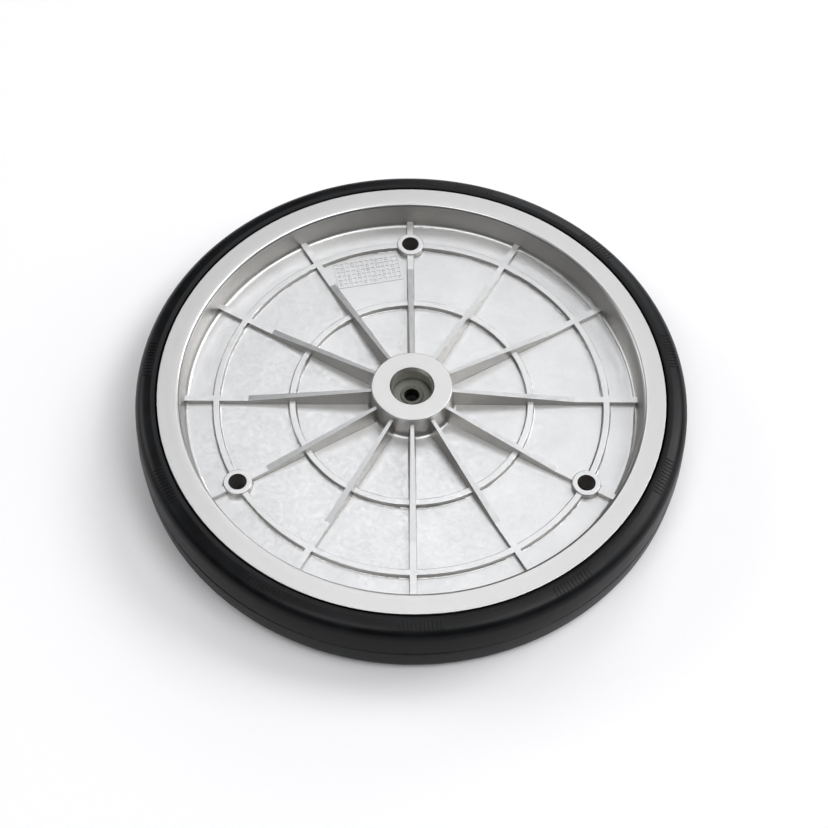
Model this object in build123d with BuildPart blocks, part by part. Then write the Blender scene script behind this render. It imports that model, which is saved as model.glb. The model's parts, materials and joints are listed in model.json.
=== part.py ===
from build123d import *

import os
from math import radians, tan

# Racing wheel: a one-piece cast aluminium disc wheel with a solid rubber tyre, which runs on
# two sealed ball bearings with a spacer between their inner rings. Sizes are in millimetres.
# The wheel's axis is +Z, its middle plane is z = 0, and its two faces are alike.

# Rim and web of the casting
RIM_R = 137.2
RIM_HALF = 19.3
RIM_EDGE_ROUND = 0.3
WALL_TOP_R = 125.6
WALL_BASE_R = 123.3
WALL_TOP_ROUND = 2.0
WALL_BASE_FILLET = 2.4
WEB_HALF = 3.2

# Channel in the rim that the tyre sits in
CHANNEL_R = 129.5
CHANNEL_HALF = 14.6
CHANNEL_FILLET = 1.0
FLANGE_TIP_Z = 15.4
FLANGE_TIP_ROUND = 0.5

# Hub
HUB_R = 22.0
HUB_HALF = 18.7
HUB_DRAFT = 0.5
HUB_TOP_ROUND = 0.6
HUB_BASE_FILLET = 2.5
BORE_R = 11.0
BORE_CHAMFER_R = 12.15
BORE_CHAMFER_DEPTH = 2.0
SHOULDER_R = 9.5
SHOULDER_HALF = 3.0

# Ribs: low rings, and radial ribs that rise in a straight line to the hub
RING_RADII = (65.0, 106.5)
RING_TOP_HALF_WIDTH = 1.75
RIB_COUNT = 12
RIB_DRAFT = radians(5.5)
RIB_LOW_Z = 5.9
RIB_LOW_HALF_WIDTH = 1.75
RIB_HIGH_Z = 14.3
RIB_RISE_R = 89.0
RIB_START_R = 20.0
RIB_END_R = 125.0
RIB_FILLET = 0.6
RIB_TOP_ROUND = 0.4
RIB_ROOT_HALF_WIDTH = 4.0

# Rib and boss feet are sunk this far into the web, so that their fillets cross its surface
ROOT_SINK = 0.15

# Bosses for a sprocket, brake disc or wheel cover
BOSS_COUNT = 3
BOSS_CIRCLE_R = 106.7
BOSS_START_ANGLE = 90
BOSS_R = 7.6
BOSS_DRAFT = 0.3
BOSS_HALF = 6.8
BOSS_FILLET = 1.0
BOSS_TOP_ROUND = 0.5
BOSS_ROOT_R = 10.0
BOLT_HOLE_R = 4.9

# Tyre
TYRE_R = 150.0
TREAD_EDGE_R = 149.1
TREAD_EDGE_Z = 17.6
SHOULDER_ROUND = 7.0
SIDEWALL_TOP_R = 140.6
SIDEWALL_TOP_Z = 19.75
SIDEWALL_ROUND = 3.0
TYRE_LIP_R = 138.2
TYRE_LIP_Z = 19.3
TYRE_LIP_ROUND = 0.5
RIM_GAP_Z = 18.1
GROOVE_HALF_WIDTH = 0.8
GROOVE_BOTTOM_HALF_WIDTH = 0.3
GROOVE_DEPTH = 1.3
GROOVE_ROUND = 0.25

# Ball bearings of the 608 size: 8 mm bore, 22 mm outside diameter, 7 mm wide
AXLE_R = 4.0
BEARING_HALF = 3.5
BEARING_Z = SHOULDER_HALF + BEARING_HALF
RING_EDGE = 0.3
INNER_LAND_R = 6.05
OUTER_LAND_R = 8.95
SEAL_RECESS_R = 9.75
SEAL_RECESS_Z = 2.6
BALL_COUNT = 7
BALL_DIAMETER = 3.969
BALL_R = BALL_DIAMETER / 2
PITCH_R = 7.5
RACEWAY_CONFORMITY = 0.52
RACEWAY_R = RACEWAY_CONFORMITY * BALL_DIAMETER
CAGE_THICKNESS = 0.3
CAGE_INNER_R = 6.6
CAGE_OUTER_R = 8.4
POCKET_CLEARANCE = 0.075
POCKET_R = BALL_R + POCKET_CLEARANCE
SEAL_INNER_R = 6.3
SEAL_BEAD_R = 9.15
SEAL_LIP_HALF_WIDTH = 0.7
SEAL_BACK_Z = 2.85
SEAL_LIP_Z = 3.1
SEAL_FACE_Z = 3.25
SEAL_BEAD_Z = 3.4
SPACER_BORE_R = 4.15

SIDES = {"upper": 1, "lower": -1}


def rounded_outline(corners):
    """Closed outline through (x, y, fillet radius) corners."""
    points = [(x, y) for x, y, _ in corners]
    FilletPolyline(*points, radius=[fillet for _, _, fillet in corners], close=True)


def mirrored(corners):
    """The corners of an upper half, followed by those of the matching lower half."""
    return corners + [(x, -y, fillet) for x, y, fillet in reversed(corners)]


def revolved(corners):
    """Solid of revolution about Z from (r, z, fillet radius) corners."""
    with BuildPart() as body:
        with BuildSketch(Plane.XZ):
            with BuildLine():
                rounded_outline(corners)
            make_face()
        revolve(axis=Axis.Z)
    return body.part


def save(part, label):
    part.label = label
    export_step(part, f"parts/{label}.step")


# ---------------------------------------------------------------- wheel casting
def ring_rib_corners(radius):
    """Section of one low ring rib, from its inner foot to its outer foot."""
    foot = RING_TOP_HALF_WIDTH + (RIB_LOW_Z - WEB_HALF) * tan(RIB_DRAFT)
    return [
        (radius - foot, WEB_HALF, RIB_FILLET),
        (radius - RING_TOP_HALF_WIDTH, RIB_LOW_Z, RIB_TOP_ROUND),
        (radius + RING_TOP_HALF_WIDTH, RIB_LOW_Z, RIB_TOP_ROUND),
        (radius + foot, WEB_HALF, RIB_FILLET),
    ]


def disc_corners():
    """Upper half of the casting's section, from the bore's shoulder out to the tyre channel."""
    corners = [
        (SHOULDER_R, SHOULDER_HALF, 0),
        (BORE_R, SHOULDER_HALF, 0),
        (BORE_R, HUB_HALF - BORE_CHAMFER_DEPTH, 0),
        (BORE_CHAMFER_R, HUB_HALF, 0),
        (HUB_R, HUB_HALF, HUB_TOP_ROUND),
        (HUB_R + HUB_DRAFT, WEB_HALF, HUB_BASE_FILLET),
    ]
    for radius in RING_RADII:
        corners += ring_rib_corners(radius)
    corners += [
        (WALL_BASE_R, WEB_HALF, WALL_BASE_FILLET),
        (WALL_TOP_R, RIM_HALF, WALL_TOP_ROUND),
        (RIM_R, RIM_HALF, RIM_EDGE_ROUND),
        (RIM_R, FLANGE_TIP_Z, FLANGE_TIP_ROUND),
        (CHANNEL_R, CHANNEL_HALF, CHANNEL_FILLET),
    ]
    return corners


def rib_section_corners():
    """Quarter of a radial rib's cross-section, which is widest at the web."""
    high_half_width = RIB_LOW_HALF_WIDTH - (RIB_HIGH_Z - RIB_LOW_Z) * tan(RIB_DRAFT)
    foot_half_width = RIB_LOW_HALF_WIDTH + (RIB_LOW_Z - WEB_HALF) * tan(RIB_DRAFT)
    return [
        (high_half_width, RIB_HIGH_Z, 0),
        (foot_half_width, WEB_HALF - ROOT_SINK, RIB_FILLET),
        (RIB_ROOT_HALF_WIDTH, WEB_HALF - ROOT_SINK, 0),
    ]


def make_radial_rib():
    """One rib along +X, on both faces of the web: a drafted bar, cut to its side outline."""
    right_half = mirrored(rib_section_corners())
    left_half = [(-x, y, fillet) for x, y, fillet in reversed(right_half)]
    with BuildPart() as rib:
        with BuildSketch(Plane.YZ.offset(RIB_START_R)):
            with BuildLine():
                rounded_outline(right_half + left_half)
            make_face()
        extrude(amount=RIB_END_R - RIB_START_R)
        with BuildSketch(Plane.XZ):
            with BuildLine():
                top = [
                    (RIB_START_R, RIB_HIGH_Z, 0),
                    (HUB_R, RIB_HIGH_Z, 0),
                    (RIB_RISE_R, RIB_LOW_Z, 0),
                    (RIB_END_R, RIB_LOW_Z, 0),
                ]
                rounded_outline(mirrored(top))
            make_face()
        extrude(amount=RIB_ROOT_HALF_WIDTH, both=True, mode=Mode.INTERSECT)
    return rib.part


def make_boss():
    """One boss on both faces of the web, about the origin."""
    return revolved(
        mirrored(
            [
                (0, BOSS_HALF, 0),
                (BOSS_R, BOSS_HALF, BOSS_TOP_ROUND),
                (BOSS_R + BOSS_DRAFT, WEB_HALF - ROOT_SINK, BOSS_FILLET),
                (BOSS_ROOT_R, WEB_HALF - ROOT_SINK, 0),
            ]
        )
    )


def make_wheel_casting():
    disc = revolved(mirrored(disc_corners()))
    rib = make_radial_rib()
    boss = make_boss()
    with BuildPart() as casting:
        add(disc)
        with PolarLocations(0, RIB_COUNT):
            add(rib)
        with PolarLocations(BOSS_CIRCLE_R, BOSS_COUNT, start_angle=BOSS_START_ANGLE):
            add(boss)
        with PolarLocations(BOSS_CIRCLE_R, BOSS_COUNT, start_angle=BOSS_START_ANGLE):
            Hole(BOLT_HOLE_R, depth=BOSS_HALF + RIM_HALF)
    return casting.part


# ---------------------------------------------------------------- tyre
def make_tyre():
    """Solid rubber ring that fills the rim's channel and stands just proud of the rim's faces."""
    return revolved(
        mirrored(
            [
                (CHANNEL_R, CHANNEL_HALF, CHANNEL_FILLET),
                (RIM_R, FLANGE_TIP_Z, FLANGE_TIP_ROUND),
                (RIM_R, RIM_GAP_Z, 0),
                (TYRE_LIP_R, TYRE_LIP_Z, TYRE_LIP_ROUND),
                (SIDEWALL_TOP_R, SIDEWALL_TOP_Z, SIDEWALL_ROUND),
                (TREAD_EDGE_R, TREAD_EDGE_Z, SHOULDER_ROUND),
                (TYRE_R, GROOVE_HALF_WIDTH, GROOVE_ROUND),
                (TYRE_R - GROOVE_DEPTH, GROOVE_BOTTOM_HALF_WIDTH, 0),
            ]
        )
    )


# ---------------------------------------------------------------- ball bearings
def raceway_half_width(land_r):
    """Half the raceway groove's width where it meets a land of this radius."""
    return (RACEWAY_R**2 - (land_r - PITCH_R) ** 2) ** 0.5


def ring_outline(plain_r, land_r, recess):
    """Outline of a bearing ring: plain cylinder, two lands and the raceway between them."""
    outward = 1 if plain_r > land_r else -1
    groove = raceway_half_width(land_r)
    upper = [(land_r, groove)] + recess
    upper += [
        (plain_r - outward * RING_EDGE, BEARING_HALF),
        (plain_r, BEARING_HALF - RING_EDGE),
    ]
    Polyline(*upper, *[(r, -z) for r, z in reversed(upper)])
    race_bottom = (PITCH_R + outward * RACEWAY_R, 0)
    ThreePointArc((land_r, -groove), race_bottom, (land_r, groove))


def make_ring(centre_z, plain_r, land_r, recess):
    with BuildPart() as ring:
        with BuildSketch(Plane.XZ.shift_origin((0, 0, centre_z))):
            with BuildLine():
                ring_outline(plain_r, land_r, recess)
            make_face()
        revolve(axis=Axis.Z)
    return ring.part


def make_outer_ring(centre_z):
    recess = [
        (OUTER_LAND_R, SEAL_RECESS_Z),
        (SEAL_RECESS_R, SEAL_RECESS_Z),
        (SEAL_RECESS_R, BEARING_HALF),
    ]
    return make_ring(centre_z, BORE_R, OUTER_LAND_R, recess)


def make_inner_ring(centre_z):
    return make_ring(centre_z, AXLE_R, INNER_LAND_R, [(INNER_LAND_R, BEARING_HALF)])


def make_balls(centre_z):
    with BuildPart(Plane.XY.offset(centre_z)) as balls:
        with PolarLocations(PITCH_R, BALL_COUNT):
            Sphere(BALL_R)
    return balls.part


def make_cage_half(centre_z, side):
    """Half of a pressed ribbon cage, on the +Z (1) or -Z (-1) side of the balls."""
    with BuildPart(Plane.XY.offset(centre_z)) as cage:
        with PolarLocations(PITCH_R, BALL_COUNT):
            Sphere(POCKET_R + CAGE_THICKNESS)
        with Locations((0, 0, side * CAGE_THICKNESS / 2)):
            Cylinder(CAGE_OUTER_R, CAGE_THICKNESS)
        with Locations((0, 0, side * BEARING_HALF / 2)):
            Cylinder(CAGE_OUTER_R, BEARING_HALF, mode=Mode.INTERSECT)
        Cylinder(CAGE_INNER_R, 2 * BEARING_HALF, mode=Mode.SUBTRACT)
        with PolarLocations(PITCH_R, BALL_COUNT):
            Sphere(POCKET_R, mode=Mode.SUBTRACT)
    return cage.part


def make_seal(centre_z, side):
    """Rubber seal held by its bead in the outer ring, with its lip just clear of the inner one."""
    corners = [
        (SEAL_INNER_R, SEAL_BACK_Z),
        (SEAL_INNER_R, SEAL_LIP_Z),
        (SEAL_INNER_R + SEAL_LIP_HALF_WIDTH, SEAL_FACE_Z),
        (SEAL_BEAD_R, SEAL_FACE_Z),
        (SEAL_BEAD_R, SEAL_BEAD_Z),
        (SEAL_RECESS_R, SEAL_BEAD_Z),
        (SEAL_RECESS_R, SEAL_RECESS_Z),
        (SEAL_BEAD_R, SEAL_RECESS_Z),
        (SEAL_BEAD_R, SEAL_BACK_Z),
    ]
    return revolved([(r, centre_z + side * z, 0) for r, z in corners])


def make_spacer_sleeve():
    return revolved(mirrored([(SPACER_BORE_R, SHOULDER_HALF, 0), (INNER_LAND_R, SHOULDER_HALF, 0)]))


def save_bearing(name, direction):
    """Write one bearing's pieces. The outward side is the one that faces the hub's end."""
    centre_z = direction * BEARING_Z
    save(make_outer_ring(centre_z), f"{name}_outer_ring")
    save(make_inner_ring(centre_z), f"{name}_inner_ring")
    save(make_balls(centre_z), f"{name}_balls")
    for facing, side in (("outward", direction), ("inward", -direction)):
        save(make_cage_half(centre_z, side), f"{name}_cage_{facing}")
        save(make_seal(centre_z, side), f"{name}_seal_{facing}")


os.makedirs("parts", exist_ok=True)
save(make_wheel_casting(), "wheel_casting")
save(make_tyre(), "tyre")
for bearing_name, bearing_direction in SIDES.items():
    save_bearing(bearing_name, bearing_direction)
save(make_spacer_sleeve(), "spacer_sleeve")
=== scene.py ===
import json
from math import cos, pi, radians, sin, tan

import bmesh
import bpy
from mathutils import Matrix, Vector


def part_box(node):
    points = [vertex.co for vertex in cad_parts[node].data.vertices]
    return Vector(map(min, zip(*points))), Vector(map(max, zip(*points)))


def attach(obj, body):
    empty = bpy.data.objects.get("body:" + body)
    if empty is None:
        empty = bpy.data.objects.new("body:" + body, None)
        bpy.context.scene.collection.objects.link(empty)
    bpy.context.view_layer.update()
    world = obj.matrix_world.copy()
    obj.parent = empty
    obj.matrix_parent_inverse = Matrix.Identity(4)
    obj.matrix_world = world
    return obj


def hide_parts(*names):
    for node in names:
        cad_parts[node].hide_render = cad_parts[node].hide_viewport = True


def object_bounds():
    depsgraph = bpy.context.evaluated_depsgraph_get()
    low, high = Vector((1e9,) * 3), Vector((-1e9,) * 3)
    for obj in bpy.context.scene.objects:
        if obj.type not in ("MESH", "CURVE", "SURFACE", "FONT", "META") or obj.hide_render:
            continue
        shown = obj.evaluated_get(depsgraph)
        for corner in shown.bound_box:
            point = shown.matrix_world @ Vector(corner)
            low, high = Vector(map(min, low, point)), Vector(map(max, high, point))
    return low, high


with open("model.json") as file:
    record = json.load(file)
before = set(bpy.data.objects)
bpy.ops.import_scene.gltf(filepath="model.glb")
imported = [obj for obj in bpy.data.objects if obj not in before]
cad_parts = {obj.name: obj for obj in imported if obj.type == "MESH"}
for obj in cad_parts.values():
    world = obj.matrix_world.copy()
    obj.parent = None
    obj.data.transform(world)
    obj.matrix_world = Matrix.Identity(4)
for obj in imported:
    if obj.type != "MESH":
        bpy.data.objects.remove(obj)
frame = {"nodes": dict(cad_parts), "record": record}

# The racing wheel lies flat on a pale table. Lengths are in metres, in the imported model's frame:
# the wheel's axis is +Z and its middle plane is z = 0.
MM = 0.001
CAD_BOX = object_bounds()
FLOOR_Z = CAD_BOX[0].z
TYRE_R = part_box("tyre")[1].x
RIM_R = 137.2 * MM
RIM_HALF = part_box("wheel_casting")[1].z
SHARP_ANGLE = radians(35)


# ---------------------------------------------------------------- camera
CAMERA_PLACE = (-0.01844, -0.52847, 0.80942)
CAMERA_ELEVATION = radians(57.142)
CAMERA_TURN = radians(-2.167)
CAMERA_ROLL = radians(2.048)
CAMERA_LENS = 76.57


def make_camera():
    """The scene's camera, at the place and angle of the photograph."""
    camera = bpy.data.objects.new("camera", bpy.data.cameras.new("camera"))
    camera.data.lens = CAMERA_LENS
    turn = Matrix.Rotation(CAMERA_TURN, 4, "Z")
    tilt = Matrix.Rotation(pi / 2 - CAMERA_ELEVATION, 4, "X")
    roll = Matrix.Rotation(CAMERA_ROLL, 4, "Z")
    camera.matrix_world = Matrix.Translation(CAMERA_PLACE) @ turn @ tilt @ roll
    bpy.context.collection.objects.link(camera)
    bpy.context.scene.camera = camera


make_camera()


# ---------------------------------------------------------------- light
# The set is lit from the right and behind, and filled from the left and the front.
# Each softbox: name, azimuth from +X in degrees, elevation in degrees, power.
SOFTBOXES = [
    ("key", 25, 43, 140),
    ("right_front", 330, 60, 125),
    ("overhead", 90, 88, 25),
    ("high_back", 90, 60, 45),
    ("front_left_fill", 235, 60, 80),
    ("low_back", 70, 25, 60),
    ("low_right", 0, 25, 45),
    ("low_left", 155, 25, 75),
]
SOFTBOX_DISTANCE, SOFTBOX_WIDTH = 6.0, 3.0
WORLD_STRENGTH = 0.03


def make_light(name, azimuth, elevation, power):
    """A round softbox that faces the wheel's centre."""
    lamp = bpy.data.lights.new(name, "AREA")
    lamp.shape = "DISK"
    lamp.size = SOFTBOX_WIDTH
    lamp.energy = power
    light = bpy.data.objects.new(name, lamp)
    a, e = radians(azimuth), radians(elevation)
    away = Vector((cos(a) * cos(e), sin(a) * cos(e), sin(e)))
    light.location = away * SOFTBOX_DISTANCE
    light.rotation_euler = away.to_track_quat("Z", "Y").to_euler()
    bpy.context.collection.objects.link(light)


def make_world():
    world = bpy.data.worlds.new("studio")
    world.use_nodes = True
    background = world.node_tree.nodes["Background"]
    background.inputs["Color"].default_value = (1, 1, 1, 1)
    background.inputs["Strength"].default_value = WORLD_STRENGTH
    bpy.context.scene.world = world


for softbox in SOFTBOXES:
    make_light(*softbox)
make_world()
bpy.context.scene.view_settings.view_transform = "Standard"


# ---------------------------------------------------------------- materials
def add_node(tree, kind, inputs=None, **settings):
    """A node with its settings made and its inputs set, or linked where the value is a socket."""
    node = tree.nodes.new(kind)
    for key, value in settings.items():
        setattr(node, key, value)
    for key, value in (inputs or {}).items():
        if isinstance(value, bpy.types.NodeSocket):
            tree.links.new(value, node.inputs[key])
        else:
            node.inputs[key].default_value = value
    return node


def new_material(name):
    """An empty material with its node tree, and the coordinates of the piece in metres."""
    material = bpy.data.materials.new(name)
    material.use_nodes = True
    tree = material.node_tree
    tree.nodes.clear()
    place = add_node(tree, "ShaderNodeTexCoord").outputs["Object"]
    return material, tree, place


def finish_material(tree, inputs):
    shader = add_node(tree, "ShaderNodeBsdfPrincipled", inputs)
    add_node(tree, "ShaderNodeOutputMaterial", {"Surface": shader.outputs["BSDF"]})


def math(tree, operation, *values):
    return add_node(tree, "ShaderNodeMath", dict(enumerate(values)), operation=operation).outputs[0]


def noise(tree, place, size, detail=2.0, **inputs):
    """Noise whose largest features are about size metres across."""
    values = {"Vector": place, "Scale": 1 / size, "Detail": detail, **inputs}
    return add_node(tree, "ShaderNodeTexNoise", values).outputs["Fac"]


def ring_noise(tree, radius, size, detail=2.0):
    """Noise that changes only with the distance from the wheel's axis, as turning marks do."""
    values = {"W": radius, "Scale": 1 / size, "Detail": detail}
    return add_node(tree, "ShaderNodeTexNoise", values, noise_dimensions="1D").outputs["Fac"]


def spread(tree, value, low, high, start=0.0, end=1.0):
    """Low to high, as the value goes from start to end."""
    values = {"Value": value, "From Min": start, "From Max": end, "To Min": low, "To Max": high}
    return add_node(tree, "ShaderNodeMapRange", values).outputs["Result"]


def blend_colours(tree, share, first, second):
    """The first colour where the share is 0, and the second where it is 1."""
    values = {0: share, 6: first, 7: second}
    return add_node(tree, "ShaderNodeMix", values, data_type="RGBA").outputs[2]


def blend_values(tree, share, first, second):
    """The first value where the share is 0, and the second where it is 1."""
    return add_node(tree, "ShaderNodeMix", {0: share, 2: first, 3: second}).outputs[0]


def bump(tree, height, depth, strength):
    """A bump whose height of 1 stands for depth metres."""
    values = {"Height": height, "Distance": depth, "Strength": strength}
    return add_node(tree, "ShaderNodeBump", values).outputs["Normal"]


def axis_distances(tree, place):
    """Distance from the wheel's axis, and distance from its middle plane."""
    part = add_node(tree, "ShaderNodeSeparateXYZ", {"Vector": place}).outputs
    x_squared = math(tree, "MULTIPLY", part["X"], part["X"])
    squares = math(tree, "MULTIPLY_ADD", part["Y"], part["Y"], x_squared)
    return math(tree, "SQRT", squares), math(tree, "ABSOLUTE", part["Z"])


def levelness(tree):
    """1 where the surface lies level, and 0 where it stands upright."""
    normal = add_node(tree, "ShaderNodeNewGeometry").outputs["Normal"]
    upright = add_node(tree, "ShaderNodeSeparateXYZ", {"Vector": normal}).outputs["Z"]
    return math(tree, "ABSOLUTE", upright)


CAST_LIGHT = (0.66, 0.665, 0.675, 1)
CAST_DARK = (0.59, 0.595, 0.605, 1)
# Drafted walls are painted darker and browner than the open faces: painted shade.
CAST_WALL_SHADE = (0.47, 0.46, 0.44, 1)
TURNED = (0.56, 0.56, 0.56, 1)
# Inside the bore the metal is painted an olive tint: painted shade.
BORE_SHADE = (0.64, 0.64, 0.58, 1)
# Heights between which the cast skin gives way to turned metal.
TURNED_FROM_Z, TURNED_FULLY_Z = 16.4 * MM, 17.3 * MM
BORE_R = 11.1 * MM
# Levelness of a drafted wall, and of an open face.
STEEP, LEVEL = 0.35, 0.97
FLOW_SIZE, MOTTLE_SIZE, GRAIN_SIZE, RING_SIZE = 22 * MM, 2.5 * MM, 0.55 * MM, 0.35 * MM
CAST_SMOOTH, CAST_ROUGH, WALL_ROUGHER = 0.30, 0.44, 0.08
TURNED_SMOOTH, TURNED_ROUGH = 0.30, 0.40
ALUMINIUM_BUMP = 0.03 * MM


def cast_aluminium():
    """Satin die-cast skin, duller on the drafted walls and painted darker there as shade, with turned
    rim faces and hub ends; the bore is painted an olive tint as shade.
    """
    material, tree, place = new_material("cast_aluminium")
    radius, height = axis_distances(tree, place)
    turned = spread(tree, height, 0, 1, TURNED_FROM_Z, TURNED_FULLY_Z)
    bore = math(tree, "LESS_THAN", radius, BORE_R)
    wall = spread(tree, levelness(tree), 1, 0, STEEP, LEVEL)
    flow = noise(tree, place, FLOW_SIZE, 4)
    mottle = noise(tree, place, MOTTLE_SIZE, 3)
    grain = noise(tree, place, GRAIN_SIZE, 3)
    rings = ring_noise(tree, radius, RING_SIZE)
    shade = math(tree, "MULTIPLY_ADD", mottle, 0.4, math(tree, "MULTIPLY", flow, 0.6))
    cast_colour = blend_colours(tree, spread(tree, shade, 0, 1, 0.35, 0.65), CAST_DARK, CAST_LIGHT)
    # Steep walls take the darker, browner colour: painted shade.
    skin = blend_colours(tree, wall, cast_colour, CAST_WALL_SHADE)
    faces = blend_colours(tree, turned, skin, TURNED)
    unevenness = math(tree, "ADD", mottle, grain)
    open_rough = spread(tree, unevenness, CAST_SMOOTH, CAST_ROUGH, 0.7, 1.3)
    cast_rough = math(tree, "MULTIPLY_ADD", wall, WALL_ROUGHER, open_rough)
    turned_rough = spread(tree, rings, TURNED_SMOOTH, TURNED_ROUGH, 0.3, 0.7)
    cast_height = math(tree, "MULTIPLY_ADD", mottle, 1.5, grain)
    relief = blend_values(tree, turned, cast_height, rings)
    finish_material(
        tree,
        {
            # Inside the bore radius the colour is the painted shade.
            "Base Color": blend_colours(tree, bore, faces, BORE_SHADE),
            "Metallic": 1.0,
            "Roughness": blend_values(tree, turned, cast_rough, turned_rough),
            "Normal": bump(tree, relief, ALUMINIUM_BUMP, 0.8),
        },
    )
    return material


RUBBER_DEEP = (0.0018, 0.0020, 0.0025, 1)
RUBBER_DUSTY = (0.005, 0.0055, 0.007, 1)
TREAD_GLOSS, SIDEWALL_GLOSS = 0.08, 0.22
# Levelness of the tread, and of the sidewalls.
TREAD_LEVEL, SIDEWALL_LEVEL = 0.1, 0.8
RUBBER_SMOOTH, RUBBER_ROUGH = 0.30, 0.44
DUST_SIZE, RUBBER_GRAIN_SIZE, MOULD_RING_SIZE = 14 * MM, 0.35 * MM, 0.8 * MM
RUBBER_BUMP = 0.03 * MM


def tyre_rubber():
    """Black moulded rubber: fine grain, faint rings from the turned mould, and a little dust."""
    material, tree, place = new_material("tyre_rubber")
    radius = axis_distances(tree, place)[0]
    dust = noise(tree, place, DUST_SIZE, 5)
    grain = noise(tree, place, RUBBER_GRAIN_SIZE, 3)
    rings = ring_noise(tree, radius, MOULD_RING_SIZE, 1)
    colour = blend_colours(tree, spread(tree, dust, 0, 1, 0.35, 0.7), RUBBER_DEEP, RUBBER_DUSTY)
    unevenness = math(tree, "MULTIPLY_ADD", dust, 0.7, grain)
    relief = math(tree, "MULTIPLY_ADD", rings, 1.2, grain)
    gloss = spread(tree, levelness(tree), TREAD_GLOSS, SIDEWALL_GLOSS, TREAD_LEVEL, SIDEWALL_LEVEL)
    finish_material(
        tree,
        {
            "Base Color": colour,
            "Roughness": spread(tree, unevenness, RUBBER_SMOOTH, RUBBER_ROUGH, 0.5, 1.2),
            "Specular IOR Level": gloss,
            "Normal": bump(tree, relief, RUBBER_BUMP, 0.6),
        },
    )
    return material


METAL_RING_SIZE, METAL_STAIN_SIZE = 0.12 * MM, 1.6 * MM
METAL_BUMP = 0.004 * MM


def turned_metal(name, light, dark, smooth, rough):
    """Ground or turned metal with fine rings about the axle and a little staining."""
    material, tree, place = new_material(name)
    radius = axis_distances(tree, place)[0]
    rings = ring_noise(tree, radius, METAL_RING_SIZE)
    stain = noise(tree, place, METAL_STAIN_SIZE, 4)
    colour = blend_colours(tree, spread(tree, stain, 0, 1, 0.3, 0.7), dark, light)
    finish_material(
        tree,
        {
            "Base Color": colour,
            "Metallic": 1.0,
            "Roughness": spread(tree, rings, smooth, rough, 0.3, 0.7),
            "Normal": bump(tree, rings, METAL_BUMP, 0.5),
        },
    )
    return material


SEAL_DARK = (0.12, 0.12, 0.108, 1)
SEAL_LIGHT = (0.17, 0.17, 0.153, 1)
SEAL_SMOOTH, SEAL_ROUGH = 0.45, 0.7
SEAL_GRAIN_SIZE, SEAL_DUST_SIZE = 0.15 * MM, 2 * MM
SEAL_BUMP = 0.01 * MM


def seal_rubber():
    """Dull olive-grey seals with a little dust."""
    material, tree, place = new_material("seal_rubber")
    grain = noise(tree, place, SEAL_GRAIN_SIZE, 3)
    dust = noise(tree, place, SEAL_DUST_SIZE, 4)
    finish_material(
        tree,
        {
            "Base Color": blend_colours(tree, dust, SEAL_DARK, SEAL_LIGHT),
            "Roughness": spread(tree, dust, SEAL_SMOOTH, SEAL_ROUGH, 0.3, 0.7),
            "Normal": bump(tree, grain, SEAL_BUMP, 0.6),
        },
    )
    return material


# Each metal of the bearings and the spacer: its light and dark colours, and its smoothest and
# roughest finish.
METALS = {
    # Bearing steel is painted far darker than bright steel: painted shade inside the bore.
    "bearing_steel": ((0.15, 0.15, 0.135, 1), (0.10, 0.10, 0.09, 1), 0.40, 0.55),
    "ball_steel": ((0.75, 0.75, 0.75, 1), (0.62, 0.62, 0.62, 1), 0.06, 0.14),
    "cage_steel": ((0.50, 0.49, 0.46, 1), (0.36, 0.35, 0.32, 1), 0.30, 0.50),
    "spacer_aluminium": ((0.66, 0.66, 0.66, 1), (0.52, 0.52, 0.52, 1), 0.30, 0.45),
}
ALUMINIUM = cast_aluminium()
RUBBER = tyre_rubber()
MATERIALS = {"cast_aluminium": ALUMINIUM, "tyre_rubber": RUBBER, "seal_rubber": seal_rubber()}
for metal, (light, dark, smooth, rough) in METALS.items():
    MATERIALS[metal] = turned_metal(metal, light, dark, smooth, rough)


def paint(piece, material):
    piece.data.materials.clear()
    piece.data.materials.append(material)


for subpart in frame["record"]["subparts"]:
    paint(frame["nodes"][subpart["node"]], MATERIALS[subpart["material_slot"]])


# ---------------------------------------------------------------- mesh tools
def rounded_outline(corners, step=radians(12)):
    """Points of the closed outline through (r, z, fillet radius) corners, with the fillets as arcs."""
    points = []
    for index, (r, z, fillet) in enumerate(corners):
        here = Vector((r, z))
        before = (Vector(corners[index - 1][:2]) - here).normalized()
        after = (Vector(corners[(index + 1) % len(corners)][:2]) - here).normalized()
        if not fillet:
            points.append(here)
            continue
        half = before.angle(after) / 2
        centre = here + (before + after).normalized() * fillet / sin(half)
        start = here + before * fillet / tan(half) - centre
        end = here + after * fillet / tan(half) - centre
        turn = start.angle_signed(end)
        steps = max(2, round(abs(turn) / step))
        for count in range(steps + 1):
            angle = -turn * count / steps
            c, s = cos(angle), sin(angle)
            points.append(centre + Vector((start.x * c - start.y * s, start.x * s + start.y * c)))
    return points


def mirrored(corners):
    """The corners of an upper half, followed by those of the matching lower half."""
    return corners + [(r, -z, fillet) for r, z, fillet in reversed(corners)]


def lathe(mesh, outline, turns):
    """Adds the solid ring that a closed (r, z) outline makes about the wheel's axis."""
    rows = []
    for count in range(turns):
        angle = 2 * pi * count / turns
        rows.append([mesh.verts.new((p.x * cos(angle), p.x * sin(angle), p.y)) for p in outline])
    for count, row in enumerate(rows):
        following = rows[(count + 1) % turns]
        for index in range(len(outline)):
            after = (index + 1) % len(outline)
            mesh.faces.new((row[index], following[index], following[after], row[after]))


def make_piece(name, mesh, material, body, smooth=True):
    """A piece from a bmesh, with its faces turned outward."""
    bmesh.ops.recalc_face_normals(mesh, faces=mesh.faces)
    data = bpy.data.meshes.new(name)
    mesh.to_mesh(data)
    mesh.free()
    for polygon in data.polygons:
        polygon.use_smooth = smooth
    piece = bpy.data.objects.new(name, data)
    bpy.context.collection.objects.link(piece)
    paint(piece, material)
    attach(piece, body)
    return piece


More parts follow.
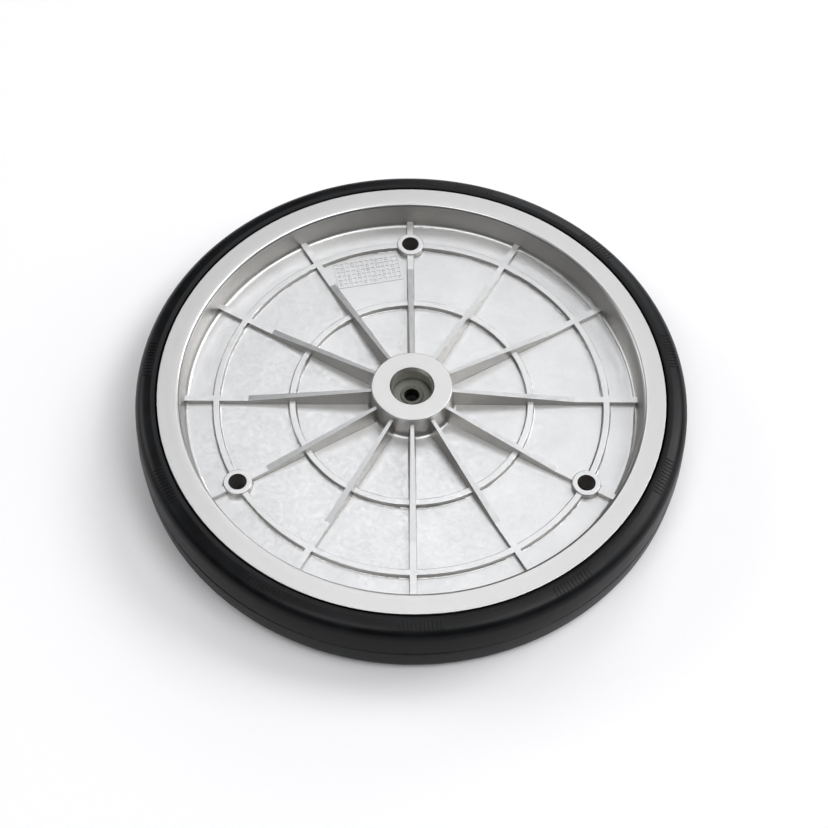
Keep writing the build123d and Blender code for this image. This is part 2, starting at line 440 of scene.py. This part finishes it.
def soften_edges(piece, width):
    """Rounds the piece's sharp edges over the given width."""
    bevel = piece.modifiers.new("soft_edges", "BEVEL")
    bevel.width = width
    bevel.segments = 2
    bevel.limit_method = "ANGLE"
    bevel.angle_limit = radians(40)


# ---------------------------------------------------------------- tyre
# Corners of the upper half of the section: radius, height and fillet radius. The gap beside the rim
# is cut deeper than in the CAD, so that it stays in shadow.
CHANNEL = (129.5 * MM, 14.6 * MM, 1.0 * MM)
FLANGE_TIP = (RIM_R, 15.4 * MM, 0.5 * MM)
RIM_GAP = (RIM_R, 16.6 * MM, 0)
LIP = (138.4 * MM, 19.3 * MM, 0.4 * MM)
SIDEWALL_TOP = (140.6 * MM, 19.75 * MM, 3.0 * MM)
SHOULDER = (149.1 * MM, 17.6 * MM, 7.0 * MM)
GROOVE_EDGE = (TYRE_R, 0.8 * MM, 0.25 * MM)
GROOVE_BOTTOM = (TYRE_R - 1.3 * MM, 0.3 * MM, 0)
TYRE_CORNERS = [CHANNEL, FLANGE_TIP, RIM_GAP, LIP, SIDEWALL_TOP, SHOULDER, GROOVE_EDGE, GROOVE_BOTTOM]
TYRE_OUTLINE = rounded_outline(mirrored(TYRE_CORNERS), radians(9))
LATHE_TURNS = 540


def make_tyre():
    """The tyre with smooth sides, and a groove round the middle of its tread."""
    mesh = bmesh.new()
    lathe(mesh, TYRE_OUTLINE, LATHE_TURNS)
    tyre = make_piece("tyre_with_groove", mesh, RUBBER, "wheel")
    tyre.data.set_sharp_from_angle(angle=SHARP_ANGLE)
    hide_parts("tyre")


make_tyre()


# ---------------------------------------------------------------- rounded inner edges of the rim
EDGE_LIFT = 0.03 * MM
EDGE_ROUND = 2.0 * MM
EDGE_TOP_R, EDGE_TOP_Z = 125.48 * MM, RIM_HALF + EDGE_LIFT
EDGE_FOOT_R, EDGE_FOOT_Z = 124.84 * MM, 14.8 * MM
# The ring's other sides are hidden inside the casting.
EDGE_OUTER_R, EDGE_OUTER_Z = 129.0 * MM, 18.8 * MM
EDGE_SUNK_R = 125.6 * MM
EDGE_CORNERS = [
    (EDGE_FOOT_R, EDGE_FOOT_Z, 0),
    (EDGE_TOP_R, EDGE_TOP_Z, EDGE_ROUND),
    (EDGE_OUTER_R, EDGE_TOP_Z, 0),
    (EDGE_OUTER_R, EDGE_OUTER_Z, 0),
    (EDGE_SUNK_R, EDGE_FOOT_Z, 0),
]
EDGE_OUTLINE = rounded_outline(EDGE_CORNERS, radians(6))


def make_rim_edges():
    """Smooth rings that round the rim's inner edges, a hair proud of the casting."""
    for name, side in (("upper_rim_edge", 1), ("lower_rim_edge", -1)):
        mesh = bmesh.new()
        lathe(mesh, [Vector((p.x, side * p.y)) for p in EDGE_OUTLINE], LATHE_TURNS)
        edge = make_piece(name, mesh, ALUMINIUM, "wheel")
        edge.data.set_sharp_from_angle(angle=SHARP_ANGLE)


make_rim_edges()


# ---------------------------------------------------------------- raised marks on the sidewalls
MARK_GROUPS = 11
MARK_START = radians(75)
# In each group: how many bars, how far apart, how wide, and their inner and outer radius.
MARK_COUNT = 11
MARK_PITCH = 2.1 * MM
MARK_WIDTH = 0.9 * MM
MARK_INNER, MARK_OUTER = 141.2 * MM, 146.2 * MM
MARK_HEIGHT = 0.35 * MM
MARK_ROOT = 0.4 * MM
MARK_STEPS = 4
MARK_EDGE = 0.1 * MM
TYRE_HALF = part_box("tyre")[1].z


def sidewall_height(radius):
    """Height of the upper sidewall at a radius beyond its highest point."""
    shoulder = [p for p in TYRE_OUTLINE if p.x > SIDEWALL_TOP[0] and p.y > RIM_GAP[1] / 2]
    shoulder.sort(key=lambda point: point.x)
    for inner, outer in zip(shoulder, shoulder[1:]):
        if radius <= outer.x:
            return inner.y + (outer.y - inner.y) * (radius - inner.x) / (outer.x - inner.x)
    return shoulder[-1].y


def add_mark(mesh, angle, width, inner, outer, side):
    """One closed block that stands on the sidewall and follows its curve."""
    rows = []
    for step in range(MARK_STEPS + 1):
        radius = inner + (outer - inner) * step / MARK_STEPS
        surface = sidewall_height(radius)
        top = min(surface + MARK_HEIGHT, TYRE_HALF)
        corners = []
        for across, height in ((-1, top), (1, top), (1, surface - MARK_ROOT), (-1, surface - MARK_ROOT)):
            turn = angle + across * width / 2 / radius
            corners.append(mesh.verts.new((radius * cos(turn), radius * sin(turn), side * height)))
        rows.append(corners)
    for row, following in zip(rows, rows[1:]):
        for index in range(4):
            after = (index + 1) % 4
            mesh.faces.new((row[index], row[after], following[after], following[index]))
    mesh.faces.new(rows[0])
    mesh.faces.new(rows[-1])


def make_marks():
    """Groups of plain radial bars round both sidewalls."""
    spacing = MARK_PITCH / ((MARK_INNER + MARK_OUTER) / 2)
    for name, side in (("upper_sidewall_marks", 1), ("lower_sidewall_marks", -1)):
        mesh = bmesh.new()
        for group in range(MARK_GROUPS):
            middle = MARK_START + 2 * pi * group / MARK_GROUPS
            for count in range(MARK_COUNT):
                angle = middle + (count - (MARK_COUNT - 1) / 2) * spacing
                add_mark(mesh, angle, MARK_WIDTH, MARK_INNER, MARK_OUTER, side)
        marks = make_piece(name, mesh, RUBBER, "wheel", smooth=False)
        soften_edges(marks, MARK_EDGE)


make_marks()


# ---------------------------------------------------------------- cast grid on the web
WEB_Z = 3.2 * MM
GRID_COLUMNS, GRID_ROWS = 13, 6
GRID_CELL = 2.85 * MM
GRID_LINE = 0.9 * MM
GRID_HEIGHT = 0.3 * MM
GRID_ROOT = 0.15 * MM
GRID_EDGE = 0.2 * MM
GRID_R = 92.3 * MM
GRID_AZIMUTH = radians(105.3)
GRID_TURN = radians(11.5)
PIP_R = 0.55 * MM
PIP_TAPER = 0.7
PIP_SIDES = 10


def lattice_steps(cells):
    """Where the lines and gaps of a lattice begin and end along one side, about its middle."""
    steps = []
    for index in range(cells + 1):
        middle = (index - cells / 2) * GRID_CELL
        steps += [middle - GRID_LINE / 2, middle + GRID_LINE / 2]
    return steps


def add_lattice(mesh, xs, ys, low, high):
    """A closed grid of raised lines: the even stretches of xs and ys are lines, the odd ones gaps."""
    corners = {}
    for level, height in enumerate((low, high)):
        for i, x in enumerate(xs):
            for j, y in enumerate(ys):
                corners[i, j, level] = mesh.verts.new((x, y, height))
    solid = {
        (i, j) for i in range(len(xs) - 1) for j in range(len(ys) - 1) if i % 2 == 0 or j % 2 == 0
    }
    for i, j in solid:
        ring = [(i, j), (i + 1, j), (i + 1, j + 1), (i, j + 1)]
        for level in (0, 1):
            mesh.faces.new([corners[a, b, level] for a, b in ring])
        beside = [(i, j - 1), (i + 1, j), (i, j + 1), (i - 1, j)]
        for side, cell in enumerate(beside):
            if cell not in solid:
                (a, b), (c, d) = ring[side], ring[(side + 1) % 4]
                mesh.faces.new((corners[a, b, 0], corners[c, d, 0], corners[c, d, 1], corners[a, b, 1]))


def add_pip(mesh, x, y, low, high):
    """A small closed peg with its top narrower than its foot."""
    rings = []
    for radius, height in ((PIP_R, low), (PIP_R, high - GRID_ROOT), (PIP_R * PIP_TAPER, high)):
        turns = [2 * pi * k / PIP_SIDES for k in range(PIP_SIDES)]
        rings.append([mesh.verts.new((x + radius * cos(t), y + radius * sin(t), height)) for t in turns])
    for ring, following in zip(rings, rings[1:]):
        for k in range(PIP_SIDES):
            after = (k + 1) % PIP_SIDES
            mesh.faces.new((ring[k], ring[after], following[after], following[k]))
    mesh.faces.new(rings[0])
    mesh.faces.new(rings[-1])


def make_cast_grid():
    """A grid of raised lines cast on the web, with a plain pip in some of its cells."""
    low, high = WEB_Z - GRID_ROOT, WEB_Z + GRID_HEIGHT
    mesh = bmesh.new()
    add_lattice(mesh, lattice_steps(GRID_COLUMNS), lattice_steps(GRID_ROWS), low, high)
    for column in range(GRID_COLUMNS):
        for row in range(GRID_ROWS):
            if (column * 2 + row * 3) % 7 in (0, 3):
                x = (column + 0.5 - GRID_COLUMNS / 2) * GRID_CELL
                y = (row + 0.5 - GRID_ROWS / 2) * GRID_CELL
                add_pip(mesh, x, y, low, high)
    centre = (GRID_R * cos(GRID_AZIMUTH), GRID_R * sin(GRID_AZIMUTH), 0)
    mesh.transform(Matrix.Translation(centre) @ Matrix.Rotation(GRID_TURN, 4, "Z"))
    grid = make_piece("cast_grid", mesh, ALUMINIUM, "wheel", smooth=False)
    soften_edges(grid, GRID_EDGE)


make_cast_grid()


# ---------------------------------------------------------------- floor
FLOOR_SIDE = 40.0
FLOOR_WHITE = (0.92, 0.917, 0.935, 1)
FLOOR_SPECKLED = (0.91, 0.907, 0.925, 1)
FLOOR_SPECKLE_SIZE = 4 * MM
FLOOR_ROUGH = 0.7


def make_floor():
    """A plain pale table top, level with the lowest side of the tyre."""
    material, tree, place = new_material("pale_floor")
    speckle = noise(tree, place, FLOOR_SPECKLE_SIZE, 3)
    colour = blend_colours(tree, speckle, FLOOR_WHITE, FLOOR_SPECKLED)
    finish_material(tree, {"Base Color": colour, "Roughness": FLOOR_ROUGH})
    mesh = bmesh.new()
    bmesh.ops.create_grid(mesh, x_segments=2, y_segments=2, size=FLOOR_SIDE / 2)
    data = bpy.data.meshes.new("floor")
    mesh.to_mesh(data)
    mesh.free()
    floor = bpy.data.objects.new("floor", data)
    floor.location.z = FLOOR_Z
    bpy.context.collection.objects.link(floor)
    paint(floor, material)


make_floor()
